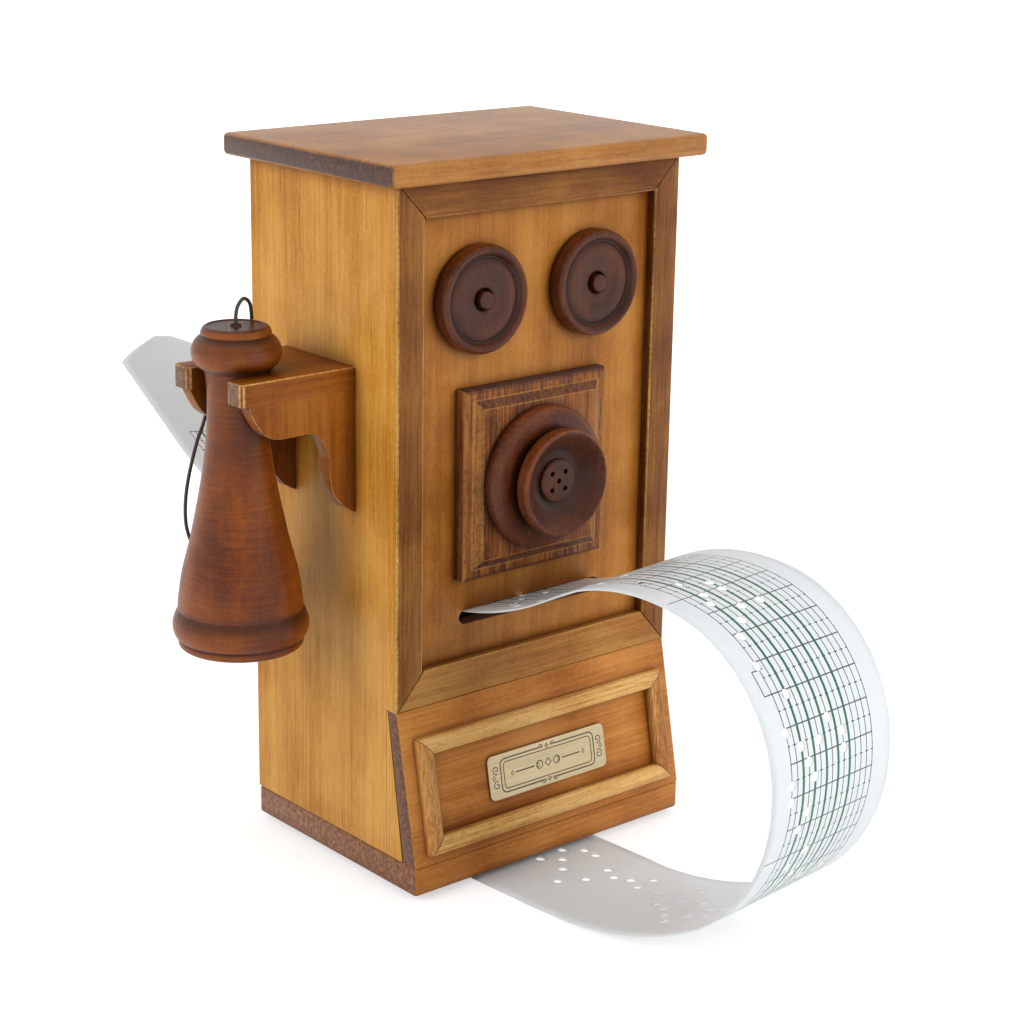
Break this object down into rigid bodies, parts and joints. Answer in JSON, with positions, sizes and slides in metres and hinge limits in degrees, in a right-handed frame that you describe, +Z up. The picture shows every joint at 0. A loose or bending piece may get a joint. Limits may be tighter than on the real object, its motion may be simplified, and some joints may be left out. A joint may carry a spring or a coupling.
{
  "type": "hand-crank punched-strip music box",
  "caption": "Hand-crank music box in a wooden case shaped like an antique wall telephone, with a punched card strip looping through it.",
  "frame": {"origin": "centre of the bounding box of everything but the cord, at the floor under the foot pads", "axes": "+X to the right of the case seen from its front, +Y from the front to the back, +Z up"},
  "size_m": [0.1516, 0.273, 0.1805],
  "materials": {
    "amber_stain": "satin lacquer",
    "black_knob": "moulded satin",
    "black_rubber": "matt",
    "brushed_brass": "brushed",
    "cast_zinc": "as cast",
    "chocolate_lacquer": "satin lacquer over dark stain",
    "cradle_stain": "satin lacquer",
    "dark_cord": "braided",
    "frame_stain": "satin lacquer, sanded edges",
    "green_felt": "felt",
    "handset_stain": "satin lacquer",
    "honey_lacquer": "satin lacquer",
    "moulding_stain": "satin lacquer",
    "plain_wood": "bare sanded",
    "plinth_stain": "satin lacquer over dark stain",
    "printed_card": "smooth card, printed on one side",
    "steel": "bright",
    "umber_stain": "thin lacquer over dark stain"
  },
  "bodies": {
    "case": {"back_panel": "honey_lacquer", "back_screw_lower_left": "steel", "back_screw_lower_right": "steel", "back_screw_upper_left": "steel", "back_screw_upper_right": "steel", "base_front_board": "amber_stain", "base_moulding_bottom": "moulding_stain", "base_moulding_left": "moulding_stain", "base_moulding_right": "moulding_stain", "base_moulding_top": "moulding_stain", "base_plate": "umber_stain", "base_wedge_left": "amber_stain", "base_wedge_right": "amber_stain", "bed_screw_left": "steel", "bed_screw_right": "steel", "bell_left": "chocolate_lacquer", "bell_pin_left": "chocolate_lacquer", "bell_pin_right": "chocolate_lacquer", "bell_right": "chocolate_lacquer", "comb": "steel", "comb_screw_left": "steel", "comb_screw_right": "steel", "cradle_fork": "cradle_stain", "cradle_front_arm": "cradle_stain", "cradle_front_leg": "cradle_stain", "cradle_rear_arm": "cradle_stain", "cradle_rear_leg": "cradle_stain", "crank_bushing": "brushed_brass", "foot_pad_back_left": "green_felt", "foot_pad_back_right": "green_felt", "foot_pad_front_left": "green_felt", "foot_pad_front_right": "green_felt", "frame_rail_bottom": "frame_stain", "frame_rail_top": "frame_stain", "frame_stile_left": "frame_stain", "frame_stile_right": "frame_stain", "front_panel": "amber_stain", "handset_cord": "dark_cord", "mouthpiece_back_disc": "chocolate_lacquer", "mouthpiece_cup": "chocolate_lacquer", "mouthpiece_plinth": "plinth_stain", "movement_bed": "cast_zinc", "movement_cheek_left": "cast_zinc", "movement_cheek_right": "cast_zinc", "movement_shelf": "plain_wood", "name_plate": "brushed_brass", "paper_strip": "printed_card", "side_panel_left": "honey_lacquer", "side_panel_right": "honey_lacquer", "star_spindle": "steel", "top_board": "frame_stain"},
    "crank": {"crank_rod": "steel", "crank_pinion": "brushed_brass"},
    "crank_knob": {"crank_knob": "black_knob"},
    "feed_roller": {"feed_roller": "black_rubber", "feed_gear": "brushed_brass"},
    "pressure_roller": {"pressure_roller": "steel"},
    "star_wheels": {"star_wheels": "brushed_brass"},
    "handset": {"handset": "handset_stain"}
  },
  "joints": [
    {"name": "crank_turn", "type": "hinge", "parent": "case", "child": "crank", "pos_m": [0.05343, -0.0042, 0.05401], "axis": [1, 0, 0], "continuous": true},
    {"name": "crank_knob_spin", "type": "hinge", "parent": "crank", "child": "crank_knob", "pos_m": [0.06813, -0.0042, 0.03001], "axis": [1, 0, 0], "continuous": true},
    {"name": "feed_roller_turn", "type": "hinge", "parent": "case", "child": "feed_roller", "pos_m": [0.00912, -0.0162, 0.06198], "axis": [1, 0, 0], "continuous": true},
    {"name": "pressure_roller_turn", "type": "hinge", "parent": "case", "child": "pressure_roller", "pos_m": [0.00912, -0.0162, 0.07082], "axis": [1, 0, 0], "continuous": true},
    {"name": "star_wheels_turn", "type": "hinge", "parent": "case", "child": "star_wheels", "pos_m": [0.00912, -0.00619, 0.06187], "axis": [1, 0, 0], "continuous": true},
    {"name": "handset_lift_off", "type": "slide", "parent": "case", "child": "handset", "axis": [-1, 0, 0], "range_m": [0, 0.04], "deforming": ["handset_cord"]}
  ],
  "couplings": [
    {"joint": "feed_roller_turn", "follows": "crank_turn", "ratio": -0.5},
    {"joint": "pressure_roller_turn", "follows": "crank_turn", "ratio": 0.64286}
  ]
}
